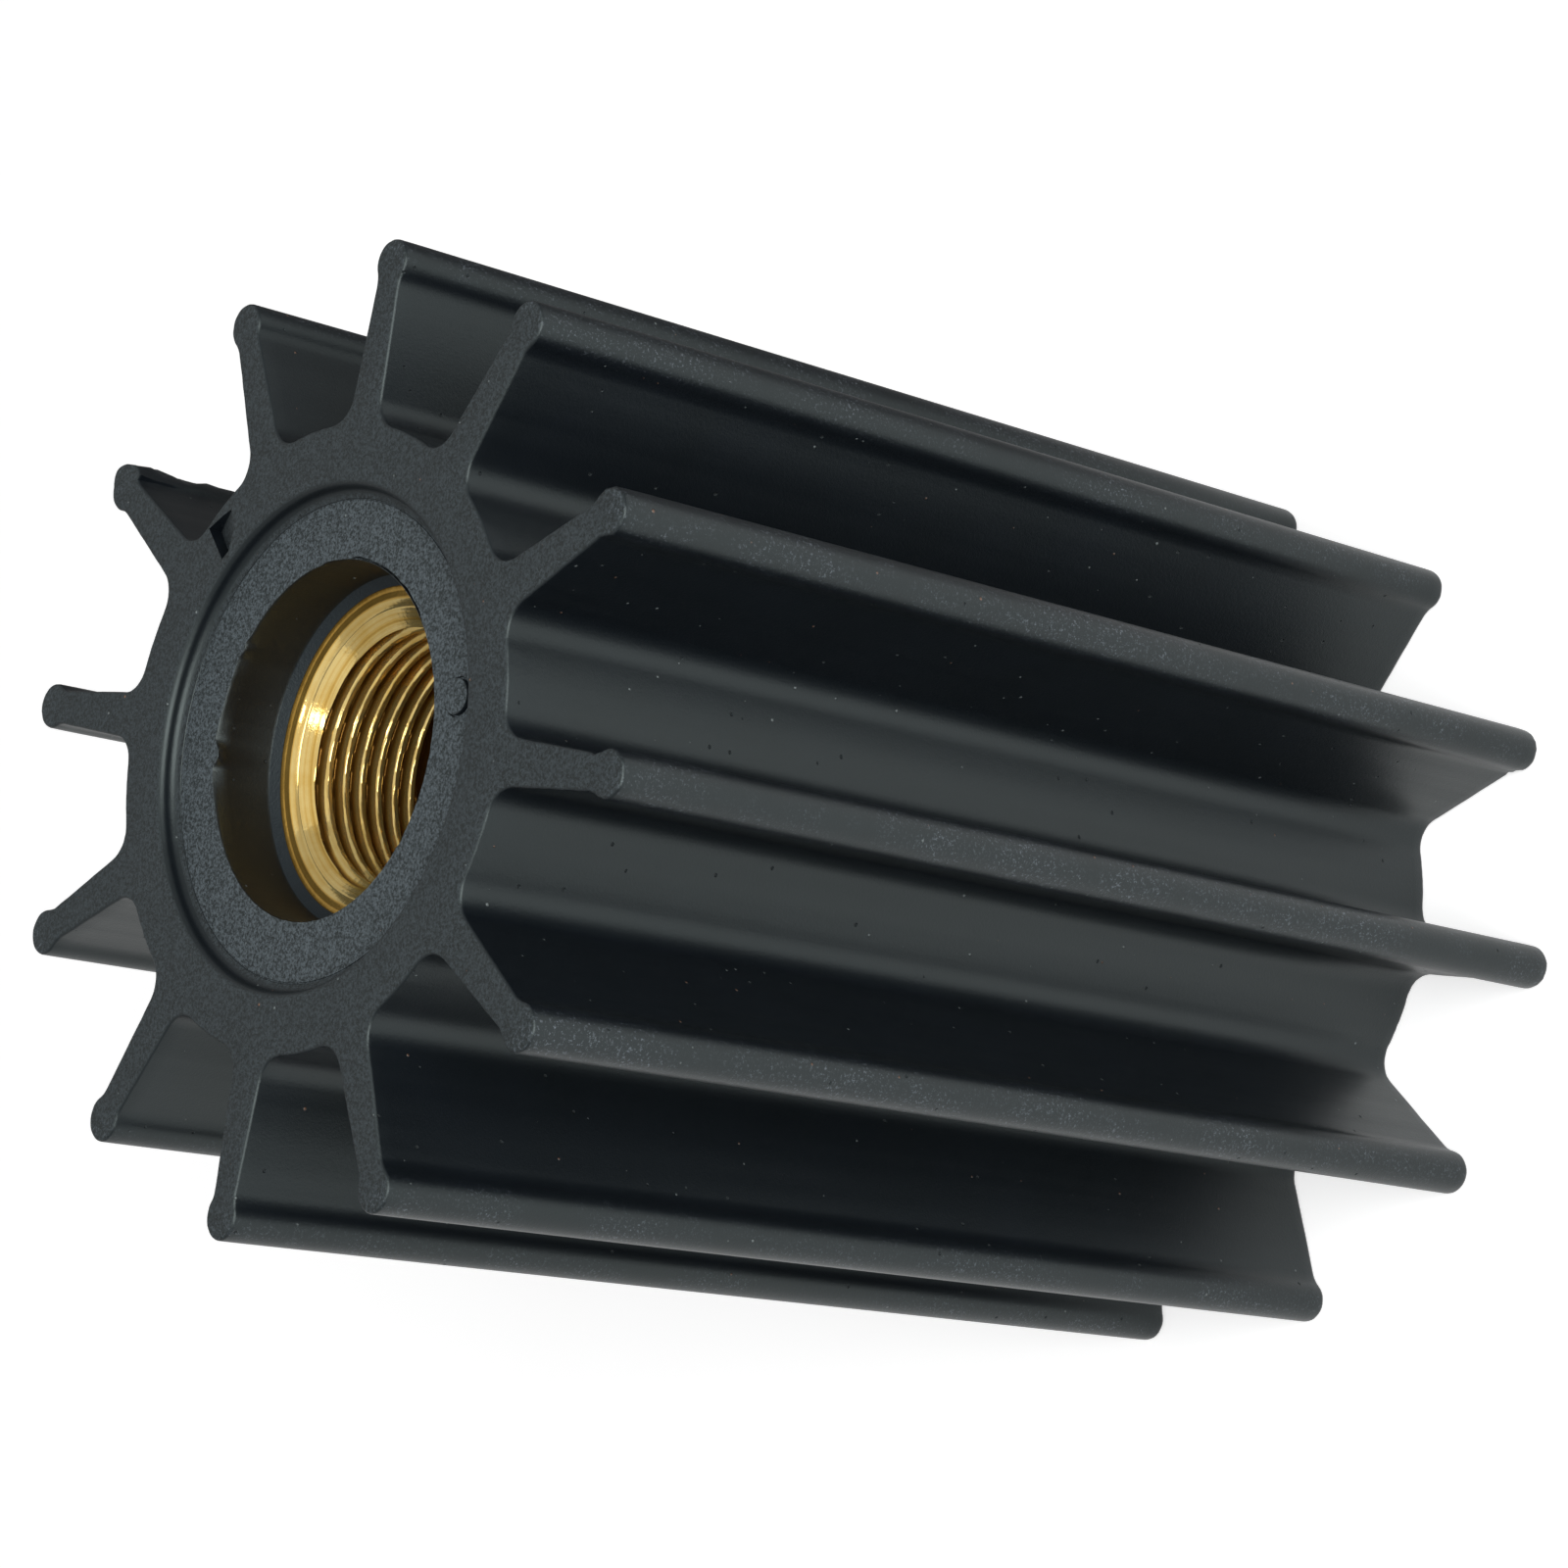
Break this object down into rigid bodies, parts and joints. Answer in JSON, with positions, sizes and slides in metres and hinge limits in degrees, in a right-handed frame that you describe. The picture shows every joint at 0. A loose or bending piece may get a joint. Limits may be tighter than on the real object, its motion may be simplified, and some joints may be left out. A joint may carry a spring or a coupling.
{
  "type": "flexible vane pump impeller",
  "caption": "Long moulded rubber pump impeller with straight radial vanes that end in round beads, on a brass hub insert with an internal puller thread and a keyed drive bore.",
  "frame": {"origin": "on the impeller's axis, in the plane of its rear end face", "axes": "+Z along the axis from the rear end to the front end, the one with the puller thread; +X through the middle of one vane; +Y across"},
  "size_m": [0.0952, 0.0952, 0.127],
  "materials": {
    "black_rubber": "moulded, satin flanks and a matte grainy end face",
    "brass": "turned, bright"
  },
  "bodies": {
    "root": {"rubber_impeller_body": "black_rubber", "brass_hub_insert": "brass"}
  },
  "joints": []
}
